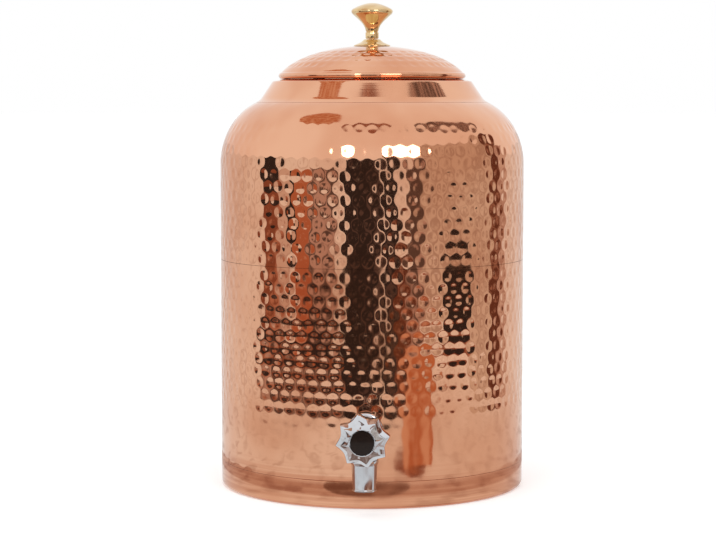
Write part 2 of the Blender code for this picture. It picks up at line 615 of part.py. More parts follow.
def build_star_knob(axis, chrome, badge_black, steel):
    """The fluted knob, lofted from its skirt to the ring round the badge, with its screw and badge."""
    face = STAR_FRONT - STAR_CROWN
    stations = [
        (star(STAR_RADIUS, STAR_FLUTE), STAR_BACK),
        (star(STAR_RADIUS, STAR_FLUTE), face - STAR_FLANK),
        (star(STAR_FACE_RADIUS, STAR_FACE_FLUTE), face),
        (star(STAR_RING_RADIUS, 0), STAR_FRONT - STAR_RING_HEIGHT),
        (star(STAR_RING_RADIUS, 0), STAR_FRONT),
    ]
    knob = lofted("tap_knob", stations, chrome, axis)
    recess_radius = BONNET_ACROSS_CORNERS / 2 + STAR_BACK_CLEARANCE
    recess = cutter("cut_knob_back", recess_radius, STAR_BACK - OVERRUN, STAR_FLOOR, axis)
    boolean(knob, recess, "DIFFERENCE")
    seat = cutter("cut_badge_seat", BADGE_RADIUS + GAP, BADGE_FLOOR, STAR_FRONT + OVERRUN, axis)
    boolean(knob, seat, "DIFFERENCE")
    head = HANDLE_SCREW_HEAD + GAP
    counterbore = cutter("cut_counterbore", head, COUNTERBORE_FLOOR, BADGE_FLOOR + GAP, axis, VALVE_SIDES)
    boolean(knob, counterbore, "DIFFERENCE")
    shank = HANDLE_SCREW_RADIUS + GAP
    through = cutter("cut_knob_screw_hole", shank, STAR_FLOOR - OVERRUN, BADGE_FLOOR, axis, VALVE_SIDES)
    boolean(knob, through, "DIFFERENCE")
    square = regular(4, SPINDLE_RADIUS, math.radians(45.0))
    socket = prism("cut_knob_square", square, STAR_FLOOR - OVERRUN, SPINDLE_FRONT + GAP, None, axis)
    boolean(knob, socket, "DIFFERENCE")

    head_base = COUNTERBORE_FLOOR + GAP
    bite = COUNTERBORE_FLOOR - HANDLE_SCREW_LENGTH
    screw = [
        (0, bite), (HANDLE_SCREW_RADIUS, bite), (HANDLE_SCREW_RADIUS, head_base),
        (HANDLE_SCREW_HEAD, head_base), (HANDLE_SCREW_HEAD, head_base + HANDLE_SCREW_HEAD_HEIGHT - GAP),
        (0, head_base + HANDLE_SCREW_HEAD_HEIGHT - GAP),
    ]
    turned("handle_screw", screw, steel, axis, VALVE_SIDES)
    badge_back = BADGE_FLOOR + GAP
    badge = [
        (0, badge_back), (BADGE_RADIUS, badge_back), (BADGE_RADIUS, badge_back + BADGE_THICKNESS - BADGE_CROWN),
        (BADGE_RADIUS / 2, badge_back + BADGE_THICKNESS - BADGE_CROWN / 4), (0, badge_back + BADGE_THICKNESS),
    ]
    turned("knob_badge", badge, badge_black, axis, TAP_SIDES)


def main():
    clear_scene()
    copper = material("copper", (0.90, 0.55, 0.40), 0.12, 1.0)
    brass = material("brass", (0.88, 0.66, 0.34), 0.15, 1.0)
    chrome = material("chrome", (0.80, 0.81, 0.83), 0.06, 1.0)
    steel = material("steel", (0.62, 0.62, 0.62), 0.35, 1.0)
    rubber = material("rubber", (0.03, 0.03, 0.03), 0.75, 0.0)
    badge_black = material("badge_black", (0.03, 0.02, 0.015), 0.25, 0.0)

    tank_axis = empty("tank_axis", (0, 0, 0))
    lid_axis = empty("lid_axis", (0, 0, 0))
    tap_axis = empty("tap_axis", (0, 0, TAP_HEIGHT), (math.pi / 2, 0, 0))
    lower_shell = build_tank(tank_axis, copper)
    build_lid(lid_axis, copper, brass, steel)
    build_tap(tap_axis, chrome, rubber, steel, lower_shell)
    build_bonnet(tap_axis, chrome, rubber)
    build_valve(tap_axis, brass, rubber)
    build_star_knob(tap_axis, chrome, badge_black, steel)


main()
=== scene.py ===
# %% [markdown]
# # A hammered copper water dispenser
#
# This lesson dresses the measured model of a copper water dispenser. Its tank is hammered sheet with a smooth
# base band and neck, its lid has a turned brass knob, and a chromed tap stands out of the wall at its foot.
# The measured pieces are loaded first and never changed: each new piece stands exactly where the plain one is.

# %% Load the measured model
import json
import math
import random
import bmesh
import bpy
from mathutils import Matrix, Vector
from mathutils.kdtree import KDTree


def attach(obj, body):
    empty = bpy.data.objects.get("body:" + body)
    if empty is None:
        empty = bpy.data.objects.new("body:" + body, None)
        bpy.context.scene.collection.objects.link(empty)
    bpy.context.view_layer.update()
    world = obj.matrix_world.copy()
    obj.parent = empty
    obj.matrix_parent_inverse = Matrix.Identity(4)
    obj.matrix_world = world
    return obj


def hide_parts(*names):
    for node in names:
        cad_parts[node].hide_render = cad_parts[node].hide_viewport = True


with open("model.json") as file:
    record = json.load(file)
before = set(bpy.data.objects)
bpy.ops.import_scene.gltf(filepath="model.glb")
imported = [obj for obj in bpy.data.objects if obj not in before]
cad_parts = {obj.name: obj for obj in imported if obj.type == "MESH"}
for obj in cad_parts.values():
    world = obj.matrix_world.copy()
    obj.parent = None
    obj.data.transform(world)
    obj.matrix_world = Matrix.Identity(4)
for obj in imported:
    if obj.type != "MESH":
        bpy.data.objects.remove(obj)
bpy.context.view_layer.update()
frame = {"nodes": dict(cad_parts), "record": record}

# %% [markdown]
# ## Sizes
#
# The sizes below are those of the measured model, in metres. The tank stands on its axis at the origin and the
# tap points along -Y. A sheet metal vessel is easiest to keep true when every piece is drawn from the same few
# radii, so the wall, the sheet and the gap at a lap joint are named once here.

# %% The sizes that several pieces share
WALL_RADIUS = 0.1075
SHEET = 0.0008
GAP = 0.0003
TONGUE_RADIUS = WALL_RADIUS - SHEET - GAP
SKIRT_TOP = 0.0185
SEAM_HEIGHT = 0.1610
SHOULDER_START = 0.2280
SHOULDER_ACROSS, SHOULDER_UP = 0.0425, 0.0473
SHOULDER_END_DEGREES = 71.2
TAP_HEIGHT = 0.0540
SPOUT_AXIS_Y = -0.1276
print("wall across", WALL_RADIUS * 2, "m, seam at", SEAM_HEIGHT, "m")

# %% [markdown]
# ## The camera
#
# The photograph was taken with a long lens a little above the middle of the tank, from slightly to the right of
# the tap. A focal length of 2080 pixels in a picture 716 pixels wide is a lens of about 105 mm. The tank's axis
# is 14 pixels right of the picture's centre, so the camera is turned a little further than the axis itself.

# %% Place the camera
PICTURE_WIDTH, FOCAL_PIXELS = 716, 2080
SENSOR_WIDTH = 36.0
EYE_HEIGHT, EYE_DISTANCE = 0.273, 1.480
EYE_DEGREES = 2.2
AXIS_PIXELS_RIGHT, HORIZON_PIXELS_UP = 14, 170

eye_turn = math.radians(EYE_DEGREES)
eye_place = (EYE_DISTANCE * math.sin(eye_turn), -EYE_DISTANCE * math.cos(eye_turn), EYE_HEIGHT)
eye_pitch = math.atan(HORIZON_PIXELS_UP / FOCAL_PIXELS)
eye_yaw = eye_turn + math.atan(AXIS_PIXELS_RIGHT / FOCAL_PIXELS)
bpy.ops.object.camera_add(location=eye_place, rotation=(math.pi / 2 - eye_pitch, 0, eye_yaw))
camera = bpy.context.object
camera.name = "photo_camera"
camera.data.sensor_width = SENSOR_WIDTH
camera.data.lens = SENSOR_WIDTH * FOCAL_PIXELS / PICTURE_WIDTH
bpy.context.scene.camera = camera
bpy.context.scene.view_settings.view_transform = "Standard"
print("lens", round(camera.data.lens, 1), "mm at", tuple(round(c, 3) for c in eye_place))

# %% [markdown]
# ## The studio
#
# Polished metal has hardly any colour of its own in a picture: it shows what stands around it. A product
# photographer therefore builds a white room and hangs dark and tinted cards in it, which draw the upright dark
# and orange streaks on the copper. The white room here is the world, at a strength of 1 for the eye and for
# reflections, and a little lower as light, because a soft lamp above adds the rest. Two smaller lamps in front
# show in the metal as the bright spots under the shoulder.

# %% Wire shader nodes
def shader_tree(owner):
    owner.use_nodes = True
    owner.node_tree.nodes.clear()
    return owner.node_tree


def feed(node, inputs):
    """Sets a node's inputs. A value that is a socket of another node is linked."""
    for label, value in inputs.items():
        if isinstance(value, bpy.types.NodeSocket):
            node.id_data.links.new(value, node.inputs[label])
        else:
            node.inputs[label].default_value = value


def add_node(tree, kind, inputs, **settings):
    node = tree.nodes.new("ShaderNode" + kind)
    for key, value in settings.items():
        setattr(node, key, value)
    feed(node, inputs)
    return node


def calculate(tree, operation, first, second):
    return add_node(tree, "Math", {0: first, 1: second}, operation=operation).outputs[0]


def seen_directly(tree):
    """1 for camera, glossy and transmission rays, 0 for the rays that only carry light."""
    path = add_node(tree, "LightPath", {})
    seen = path.outputs["Is Camera Ray"]
    for ray in ("Is Glossy Ray", "Is Transmission Ray"):
        seen = calculate(tree, "MAXIMUM", seen, path.outputs[ray])
    return seen


WHITE = (1.0, 1.0, 1.0, 1.0)
print("white, as the room has it:", WHITE)

# %% Light the white room
ROOM_LIGHT = 0.80
room = bpy.data.worlds.new("white_room")
bpy.context.scene.world = room
tree = shader_tree(room)
as_light = add_node(tree, "Background", {"Color": WHITE, "Strength": ROOM_LIGHT})
as_seen = add_node(tree, "Background", {"Color": WHITE, "Strength": 1.0})
choose = add_node(tree, "MixShader", {0: seen_directly(tree), 1: as_light.outputs[0], 2: as_seen.outputs[0]})
add_node(tree, "OutputWorld", {"Surface": choose.outputs[0]})


def soft_lamp(name, place, aim, width, height, watts, in_reflections):
    bpy.ops.object.light_add(type="AREA", location=place)
    lamp = bpy.context.object
    lamp.name = name
    lamp.rotation_euler = (Vector(aim) - Vector(place)).to_track_quat("-Z", "Y").to_euler()
    lamp.data.shape = "RECTANGLE"
    lamp.data.size, lamp.data.size_y = width, height
    lamp.data.energy = watts
    lamp.visible_glossy = in_reflections


# Name, place, the point it faces, width, height, watts and whether reflections show it
soft_lamp("overhead_lamp", (-0.35, -0.35, 1.8), (0, 0, 0.1), 1.2, 1.2, 6.0, False)
soft_lamp("left_highlight_lamp", (-0.24, -0.88, 0.60), (0, 0, 0.25), 0.11, 0.22, 0.6, True)
soft_lamp("right_highlight_lamp", (0.40, -0.84, 0.60), (0, 0, 0.25), 0.40, 0.22, 1.9, True)

# %% [markdown]
# ## The floor and the cards
#
# The floor is a pale sheet of card. It glows faintly where it is seen, so that it meets the white room without
# a line and still keeps the dispenser's soft shadow. The reflection cards are one round wall, cut into panels by
# a small table of bearings, measured from the camera, because a bearing on the wall is what decides where a
# streak falls on a round tank. A pale finish fills the low part of the wall that no dark card takes. Flat cards
# on the floor and overhead do the same for the foot, the tap and the shoulder. Only reflections see any of them.

# %% Lay the floor
def plain_material(name, colour, roughness, metallic=0.0):
    made = bpy.data.materials.new(name)
    tree = shader_tree(made)
    shader = add_node(
        tree, "BsdfPrincipled", {"Base Color": (*colour, 1.0), "Roughness": roughness, "Metallic": metallic}
    )
    add_node(tree, "OutputMaterial", {"Surface": shader.outputs[0]})
    return made, tree, shader


FLOOR_GLOW = 0.36
bpy.ops.object.select_all(action="DESELECT")
bpy.ops.mesh.primitive_plane_add(size=80.0, location=(0, 0, 0))
floor = bpy.context.object
floor.name = "pale_floor"
floor_card, tree, shader = plain_material("floor_card", (0.80, 0.80, 0.80), 0.7)
glow = calculate(tree, "MULTIPLY", seen_directly(tree), FLOOR_GLOW)
feed(shader, {"Specular IOR Level": 0.2, "Emission Color": WHITE, "Emission Strength": glow})
floor.data.materials.append(floor_card)
print("floor across", round(floor.dimensions.x, 1), "m")

# %% Mix the card colours
# Two colours of each card and how much of it the second one covers
CARD_COLOURS = {
    "black": ((0.036, 0.029, 0.028), (0.10, 0.075, 0.07), 0.30),
    "rust": ((0.26, 0.10, 0.06), (0.50, 0.25, 0.17), 0.45),
    "orange": ((0.46, 0.17, 0.09), (0.58, 0.34, 0.25), 0.45),
    "blush": ((0.66, 0.55, 0.50), (0.46, 0.32, 0.28), 0.40),
    "mottled": ((0.12, 0.085, 0.075), (0.52, 0.38, 0.34), 0.50),
    "grey": ((0.70, 0.64, 0.58), (0.50, 0.41, 0.36), 0.50),
    "umber": ((0.14, 0.055, 0.035), (0.36, 0.20, 0.15), 0.40),
    "amber": ((0.56, 0.23, 0.115), (0.76, 0.50, 0.36), 0.50),
    "taupe": ((0.24, 0.15, 0.12), (0.42, 0.31, 0.26), 0.40),
    "pale": ((0.87, 0.88, 0.88), (0.70, 0.66, 0.64), 0.35),
}
CARD_STRETCH = (26.0, 26.0, 9.0)
EDGE_START, EDGE_END, SHARE_SHIFT = 0.62, 0.74, 0.30


def own_place(tree, **mapping):
    """The place on the piece itself, moved, turned or stretched if a mapping is given."""
    place = add_node(tree, "TexCoord", {}).outputs["Object"]
    if mapping:
        place = add_node(tree, "Mapping", {"Vector": place, **mapping}).outputs["Vector"]
    return place


def noise(tree, vector, scale, detail=2.0):
    return add_node(tree, "TexNoise", {"Vector": vector, "Scale": scale, "Detail": detail}).outputs["Fac"]


def rise(tree, value, start, end):
    """0 at the start, 1 at the end, straight between them and level beyond."""
    return add_node(tree, "MapRange", {"Value": value, "From Min": start, "From Max": end}).outputs["Result"]


def two_tones(tree, mask, first, second):
    """The first colour where the mask is 0 and the second where it is 1."""
    return add_node(tree, "Mix", {0: mask, 6: first, 7: second}, data_type="RGBA").outputs[2]


def card_material(name, first, second, share):
    """Glows in two colours that lie in soft streaks, as things in a room would."""
    made, tree, shader = plain_material(name + "_card", (0.0, 0.0, 0.0), 1.0)
    shift = SHARE_SHIFT * share
    cloudy = noise(tree, own_place(tree, Scale=CARD_STRETCH), 1.0, 3.0)
    mask = rise(tree, cloudy, EDGE_START - shift, EDGE_END - shift)
    colour = two_tones(tree, mask, (*first, 1.0), (*second, 1.0))
    feed(shader, {"Specular IOR Level": 0.0, "Emission Strength": 1.0, "Emission Color": colour})
    return made


FINISHES = list(CARD_COLOURS)
card_materials = [card_material(name, *CARD_COLOURS[name]) for name in FINISHES]
print("card finishes", FINISHES)

# %% Stand the reflection cards round the tank
def only_reflected(card):
    for ray in ("camera", "diffuse", "shadow", "transmission"):
        setattr(card, "visible_" + ray, False)


def stand_cards(name, radius, table):
    """One round wall, cut at the heights in the table and kept only where the table names a finish."""
    top = max(row[3] for row in table)
    bpy.ops.object.select_all(action="DESELECT")
    bpy.ops.mesh.primitive_cylinder_add(
        vertices=360, radius=radius, depth=top, end_fill_type="NOTHING", location=(0, 0, top / 2)
    )
    wall = bpy.context.object
    wall.name = name
    bpy.ops.object.transform_apply(location=True, rotation=True, scale=True)
    for made in card_materials:
        wall.data.materials.append(made)
    bpy.ops.object.mode_set(mode="EDIT")
    bpy.ops.mesh.select_mode(type="FACE")
    for level in sorted({row[2] for row in table} | {row[3] for row in table}):
        if 0 < level < top:
            bpy.ops.mesh.select_all(action="SELECT")
            bpy.ops.mesh.bisect(plane_co=(0, 0, level), plane_no=(0, 0, 1))
    bpy.ops.mesh.select_all(action="DESELECT")
    bpy.ops.object.mode_set(mode="OBJECT")
    for panel in wall.data.polygons:
        bearing = math.degrees(math.atan2(panel.center.x, -panel.center.y)) - EYE_DEGREES
        panel.select = True
        for start, end, low, high, finish in table:
            if (bearing - start) % 360 < end - start and low < panel.center.z < high:
                panel.material_index = FINISHES.index(finish)
                panel.select = False
                break
    bpy.ops.object.mode_set(mode="EDIT")
    bpy.ops.mesh.delete(type="FACE")
    bpy.ops.mesh.select_mode(type="VERT")
    bpy.ops.object.mode_set(mode="OBJECT")
    only_reflected(wall)
    print(name, "panels kept", len(wall.data.polygons))


FAR_RADIUS, NEAR_RADIUS = 0.53, 0.25
# First and last bearing from the camera in degrees, positive to the right, then lowest and highest edge
stand_cards("far_cards", FAR_RADIUS, [
    (-85, -18, 0.0, 0.035, "mottled"), (-85, -18, 0.035, 0.047, "rust"), (-85, -18, 0.047, 0.078, "black"),
    (-80, -67, 0.078, 0.194, "rust"), (-80, -67, 0.194, 0.30, "black"),
    (-67, -58, 0.078, 0.21, "blush"), (-58, -54, 0.14, 0.21, "black"),
    (-54, -42, 0.078, 0.21, "orange"), (-42, -24, 0.078, 0.24, "mottled"),
    (-18, 6, 0.0, 0.30, "black"), (8, 16, 0.0, 0.37, "black"), (16, 24, 0.0, 0.14, "umber"),
    (24, 34, 0.062, 0.30, "mottled"), (24, 72, 0.047, 0.062, "rust"), (24, 42, 0.0, 0.047, "orange"),
    (34, 50, 0.078, 0.50, "grey"), (50, 72, 0.062, 0.14, "black"), (50, 72, 0.14, 0.50, "grey"),
    (72, 91, 0.0, 0.50, "grey"), (91, 101, 0.0, 0.50, "umber"), (101, 110, 0.0, 0.37, "blush"),
    (-180, 180, 0.0, 0.30, "pale"),
])
stand_cards("near_card", NEAR_RADIUS, [(18, 36, 0.0, 0.09, "amber")])

# %% Lay cards on the floor and hang some overhead
# Place, half the size each way, turn in degrees and finish
FLAT_CARDS = {
    "wide_mat": ((0, 0, 0.0012), (0.52, 0.52), 0, "pale"),
    # The blush ring round the foot is painted shade: the floor near the tank, darkened as its shadow would
    # darken it, seen only in reflections.
    "near_mat": ((0, 0, 0.0016), (0.182, 0.182), 0, "blush"),
    "foot_mat": ((0, 0, 0.0018), (0.140, 0.140), 0, "pale"),
    "front_flag": ((-0.002, -0.171, 0.0020), (0.070, 0.030), 0, "taupe"),
    "right_flag": ((0.105, -0.235, 0.0020), (0.040, 0.045), 0, "rust"),
    "left_overhead": ((-0.50, -0.12, 1.25), (0.26, 0.25), 135.8, "amber"),
    "front_overhead": ((-0.01, -0.56, 1.25), (0.28, 0.10), 0, "rust"),
    "right_overhead": ((0.91, -0.03, 1.25), (0.60, 0.15), 48.5, "mottled"),
}
for name, (place, half_size, turn, finish) in FLAT_CARDS.items():
    bpy.ops.object.select_all(action="DESELECT")
    bpy.ops.mesh.primitive_circle_add(
        vertices=64, radius=1.0, fill_type="NGON", location=place, rotation=(0, 0, math.radians(turn))
    )
    flat_card = bpy.context.object
    flat_card.name = name
    flat_card.scale = (*half_size, 1.0)
    bpy.ops.object.transform_apply(location=True, rotation=True, scale=True)
    flat_card.data.materials.append(card_materials[FINISHES.index(finish)])
    only_reflected(flat_card)
print("flat cards", len(FLAT_CARDS))

# %% [markdown]
# ## Metal that has been handled
#
# New copper is not one flat colour. It has faint clouds where it was wiped and where heat tinted it, and its
# gloss varies with them. The clouds are one node group that puts out a mask, because the copper, the brass and
# the chrome all have them at other sizes. A second group gives the fine rings that polishing on a lathe leaves.

# %% Build the shared effects
def effect_group(name, inputs, outputs):
    """A node group that takes a place and some numbers and gives other numbers."""
    group = bpy.data.node_groups.new(name, "ShaderNodeTree")
    group.interface.new_socket(name="Vector", in_out="INPUT", socket_type="NodeSocketVector")
    for label, value in inputs.items():
        socket = group.interface.new_socket(name=label, in_out="INPUT", socket_type="NodeSocketFloat")
        socket.default_value = value
    for label in outputs:
        group.interface.new_socket(name=label, in_out="OUTPUT", socket_type="NodeSocketFloat")
    return group, group.nodes.new("NodeGroupInput").outputs, group.nodes.new("NodeGroupOutput")


# Clouds: a soft mask for the colour and a roughness that wanders between two values
clouds, given, end = effect_group(
    "wiped_clouds", {"Scale": 20.0, "Smoothest": 0.05, "Roughest": 0.12}, ("Tint", "Roughness")
)
cloud = noise(clouds, given["Vector"], given["Scale"], 3.0)
spread = add_node(
    clouds, "MapRange", {"Value": cloud, "From Min": 0.38, "From Max": 0.66}, interpolation_type="SMOOTHSTEP"
).outputs["Result"]
gloss = add_node(
    clouds, "MapRange", {"Value": spread, "To Min": given["Smoothest"], "To Max": given["Roughest"]}
)
feed(end, {"Tint": spread, "Roughness": gloss.outputs["Result"]})

# Lathe rings: a height that depends only on the distance from the axis and the height along it
rings, given, end = effect_group("lathe_rings", {"Scale": 900.0, "Waver": 0.5}, ("Height",))
split = add_node(rings, "SeparateXYZ", {0: given["Vector"]}).outputs
across = add_node(rings, "CombineXYZ", {"X": split["X"], "Y": split["Y"]}).outputs[0]
from_axis = add_node(rings, "VectorMath", {0: across}, operation="LENGTH").outputs["Value"]
ring_place = add_node(rings, "CombineXYZ", {"X": from_axis, "Y": split["Z"]}).outputs[0]
ring_noise = add_node(
    rings, "TexNoise", {"Vector": ring_place, "Scale": given["Scale"], "Detail": 2.0}, noise_dimensions="2D"
).outputs["Fac"]
wavering = calculate(rings, "MULTIPLY", noise(rings, given["Vector"], 28.0), given["Waver"])
feed(end, {"Height": calculate(rings, "ADD", ring_noise, wavering)})
print("effect groups", [g.name for g in bpy.data.node_groups])

# %% [markdown]
# ## The finishes
#
# Each metal is a Principled shader with Metallic at 1, whose base colour is what white looks like in it. The
# copper goes from a pale peach to a deeper pink where the clouds lie. At the foot it is painted darker in level
# streaks: painted shade, standing for the darker floor that the foot mirrors.
# Pieces that were spun have the rings as a very shallow bump, the hammered walls have soft dents between the
# blows instead, and the rubber and the enamel are not metal.

# %% Mix the metals
# The third colour is painted shade for the foot, where the copper mirrors the darker floor near it.
PEACH, ROSE_COPPER, FOOT_SHADE = (0.80, 0.43, 0.27), (0.71, 0.335, 0.195), (0.64, 0.28, 0.16)
STREAK_STRETCH = (7.0, 7.0, 330.0)
STREAK_START, STREAK_END = 0.36, 0.60
DENT_SCALE = 62.0
TO_TAP_AXIS = {"Location": (0.0, TAP_HEIGHT, 0.0), "Rotation": (math.pi / 2, 0.0, 0.0)}


def bumped(tree, height, depth):
    return add_node(tree, "Bump", {"Strength": 1.0, "Distance": depth, "Height": height}).outputs[0]


def foot_shade_streaks(tree, vector, full_height, clear_height):
    """A mask of level streaks of painted shade, full up to one height and gone from another one on."""
    level = noise(tree, own_place(tree, Scale=STREAK_STRETCH), 1.0)
    streaks = rise(tree, level, STREAK_START, STREAK_END)
    height = add_node(tree, "SeparateXYZ", {0: vector}).outputs["Z"]
    return calculate(tree, "MULTIPLY", rise(tree, height, clear_height, full_height), streaks)


def metal(
    name, bright, deep, cloud_scale, smoothest, roughest, ring_depth=0.0, ring_scale=900.0, waver=0.5,
    axis=None, dent_depth=0.0, foot=None
):
    made, tree, shader = plain_material(name, bright, smoothest, metallic=1.0)
    vector = own_place(tree, **(axis or {}))
    wiped = add_node(
        tree, "Group", {"Vector": vector, "Scale": cloud_scale, "Smoothest": smoothest, "Roughest": roughest},
        node_tree=clouds
    )
    colour = two_tones(tree, wiped.outputs["Tint"], (*bright, 1.0), (*deep, 1.0))
    if foot:
        # Painted shade: level streaks darken the foot where it mirrors the darker floor.
        colour = two_tones(tree, foot_shade_streaks(tree, vector, *foot), colour, (*FOOT_SHADE, 1.0))
    feed(shader, {"Base Color": colour, "Roughness": wiped.outputs["Roughness"]})
    if ring_depth:
        ringed = add_node(
            tree, "Group", {"Vector": vector, "Scale": ring_scale, "Waver": waver}, node_tree=rings
        )
        feed(shader, {"Normal": bumped(tree, ringed.outputs["Height"], ring_depth)})
    if dent_depth:
        feed(shader, {"Normal": bumped(tree, noise(tree, vector, DENT_SCALE, 1.0), dent_depth)})
    return made


# The foot pair gives the height where the painted shade at the foot is full and the height where it is gone.
# Cloud scale, smoothest and roughest, then the depth, scale and waver of the rings
hammered_copper = metal(
    "hammered_copper", PEACH, ROSE_COPPER, 14.0, 0.05, 0.10, dent_depth=0.0004, foot=(0.019, 0.033)
)
spun_copper = metal("spun_copper", PEACH, ROSE_COPPER, 17.0, 0.06, 0.11, 0.000006, 700.0, 6.0)
band_copper = metal(
    "band_copper", (0.80, 0.41, 0.25), (0.72, 0.33, 0.19), 10.0, 0.07, 0.14, 0.000012, 420.0, 5.0,
    foot=(0.019, 0.0215)
)
turned_brass = metal(
    "turned_brass", (0.82, 0.62, 0.35), (0.68, 0.45, 0.21), 60.0, 0.05, 0.10, 0.000003, 1500.0, 0.5
)
bright_chrome = metal("bright_chrome", (0.66, 0.67, 0.70), (0.56, 0.57, 0.60), 70.0, 0.03, 0.07)
plain_steel = metal(
    "plain_steel", (0.60, 0.60, 0.60), (0.50, 0.50, 0.51), 120.0, 0.25, 0.38, 0.00001, 2500.0, 0.3, TO_TAP_AXIS
)
print("metals", [m.name for m in bpy.data.materials if not m.name.endswith("card")])

# %% Mix the rubber and the enamel
def moulded(name, colour, paler, roughness, grain_scale, grain_depth, coat):
    made, tree, shader = plain_material(name, colour, roughness)
    grain = noise(tree, own_place(tree), grain_scale, 4.0)
    tone = two_tones(tree, grain, (*colour, 1.0), (*paler, 1.0))
    feed(shader, {"Base Color": tone, "Normal": bumped(tree, grain, grain_depth), **coat})
    return made


black_rubber = moulded(
    "black_rubber", (0.022, 0.022, 0.022), (0.045, 0.045, 0.045), 0.65, 900.0, 0.00004, {}
)
dark_enamel = moulded(
    "dark_enamel", (0.010, 0.006, 0.005), (0.020, 0.011, 0.008), 0.22, 300.0, 0.000004,
    {"Specular IOR Level": 0.12, "Coat Weight": 0.12, "Coat Roughness": 0.04}
)
print("finishes", len(bpy.data.materials))

# %% [markdown]
# ## Drawing and turning
#
# Almost every piece here was turned or spun, so it is a section swept round an axis. The section starts as a
# small plane that is merged to one point, which is then extruded along the drawing point by point, just as one
# would click it out by hand. Spin sweeps it round, doubles are merged, and the normals are turned outwards.

# %% Define the lathe
SAME_POINT = 0.000002


def draw_line(name, points):
    """A chain of edges through the points, left in edit mode."""
    bpy.ops.object.select_all(action="DESELECT")
    bpy.ops.mesh.primitive_plane_add(size=SHEET, location=(0, 0, 0))
    piece = bpy.context.object
    piece.name = piece.data.name = name
    bpy.ops.object.mode_set(mode="EDIT")
    bpy.ops.mesh.merge(type="CENTER")
    bpy.ops.transform.translate(value=points[0])
    for before, after in zip(points, points[1:]):
        bpy.ops.mesh.extrude_region_move(TRANSFORM_OT_translate={"value": Vector(after) - Vector(before)})
    return piece


def spin_round(piece, sides, centre=(0, 0, 0), axis=(0, 0, 1)):
    bpy.ops.mesh.select_all(action="SELECT")
    bpy.ops.mesh.spin(steps=sides, angle=math.tau, center=centre, axis=axis)
    bpy.ops.mesh.select_all(action="SELECT")
    bpy.ops.mesh.remove_doubles(threshold=SAME_POINT)
    bpy.ops.mesh.normals_make_consistent(inside=False)
    bpy.ops.object.mode_set(mode="OBJECT")
    return piece


def turn_upright(name, section, sides, closed=True, axis_y=0.0):
    """Sweeps (radius, height) points round an upright axis."""
    points = [(radius, axis_y, height) for radius, height in section]
    if closed:
        points.append(points[0])
    return spin_round(draw_line(name, points), sides, (0, axis_y, 0))


def turn_on_tap_axis(name, section, sides, closed=True):
    """Sweeps (radius, distance from the tank's axis) points round the tap's axis."""
    points = [(radius, -distance, TAP_HEIGHT) for radius, distance in section]
    if closed:
        points.append(points[0])
    return spin_round(draw_line(name, points), sides, (0, 0, TAP_HEIGHT), (0, 1, 0))


def run_to(start, end, step):
    """Points along a straight line, evenly spaced and without the first."""
    start, end = Vector(start), Vector(end)
    count = max(1, round((end - start).length / step))
    return [tuple(start.lerp(end, i / count)) for i in range(1, count + 1)]


def round_arc(centre, across, up, first, last, steps):
    """Points along an elliptical arc, from one angle in degrees to another."""
    angles = [math.radians(first + (last - first) * i / steps) for i in range(steps + 1)]
    return [(centre[0] + across * math.cos(a), centre[1] + up * math.sin(a)) for a in angles]


print("points within", SAME_POINT, "m of each other are merged")

# %% Define how a piece is finished and handed over
def use_modifier(piece, kind, **settings):
    bpy.context.view_layer.objects.active = piece
    modifier = piece.modifiers.new(kind.lower(), kind)
    for key, value in settings.items():
        setattr(modifier, key, value)
    bpy.ops.object.modifier_apply(modifier=modifier.name)


def cut_or_join(piece, other, operation):
    use_modifier(piece, "BOOLEAN", operation=operation, solver="EXACT", object=other)
    bpy.data.objects.remove(other)


def hand_over(piece, body, nodes, finish, smooth_degrees=30.0):
    """Shades the piece, gives it its finish, and puts it in the place of the measured nodes."""
    bpy.ops.object.select_all(action="DESELECT")
    piece.select_set(True)
    bpy.context.view_layer.objects.active = piece
    bpy.ops.object.shade_smooth_by_angle(angle=math.radians(smooth_degrees))
    piece.data.materials.clear()
    piece.data.materials.append(finish)
    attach(piece, body)
    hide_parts(*nodes)
    check = bmesh.new()
    check.from_mesh(piece.data)
    open_edges = sum(len(e.link_faces) != 2 for e in check.edges)
    volume = check.calc_volume()
    check.free()
    triangles = sum(len(p.vertices) - 2 for p in piece.data.polygons)
    print(piece.name, triangles, "triangles,", open_edges, "open edges,", round(volume * 1e6, 2), "cm3")


print("measured pieces to dress", len(frame["nodes"]))

# %% [markdown]
# ## The base pan
#
# The plain band at the foot is a shallow pan, spun from one disc and turned up round the tank's bottom. It has
# a small round corner where it meets the table and a bare edge at its top. One closed section, swept with many
# sides, keeps its reflections even.

# %% Spin the base pan
CORNER, BASE_THICKNESS = 0.0035, 0.0012
FINE_SIDES = 304
corner_centre = (WALL_RADIUS - CORNER, CORNER)
section = [(0, 0)] + round_arc(corner_centre, CORNER, CORNER, -90, 0, steps=6)
section += run_to(section[-1], (WALL_RADIUS, SKIRT_TOP), step=0.003)
section += [(WALL_RADIUS - GAP / 2, SKIRT_TOP + GAP / 2), (WALL_RADIUS - SHEET, SKIRT_TOP + GAP / 2)]
section += round_arc(corner_centre, CORNER - SHEET, CORNER - BASE_THICKNESS, 0, -90, steps=4)
section += [(0, BASE_THICKNESS)]
base = turn_upright("spun_base_pan", section, FINE_SIDES)
hand_over(base, "tank", ["base_pan"], band_copper)

# %% [markdown]
# ## Hammering
#
# Each dimple is one blow of a ball hammer: a shallow bowl about 8 mm across. The blows lie in rows round the
# tank, and each row starts where the smith's hand happened to be, so the rows are staggered a little unevenly.
# The bowls are real metal shape here. Every point of the wall gets a weight from the nearest blow, and one
# Displace modifier sinks the wall by those weights, because a bump alone would leave the edge of the tank flat.

# %% Define the hammer
# A blow's force, and the power that rounds the bowl: the weight can't pass 1, so the strongest blow has 1
WEAKEST, STRONGEST = 0.62, 1.2
BOWL_POWER = 1.4
ROW_SHIFT = 0.16


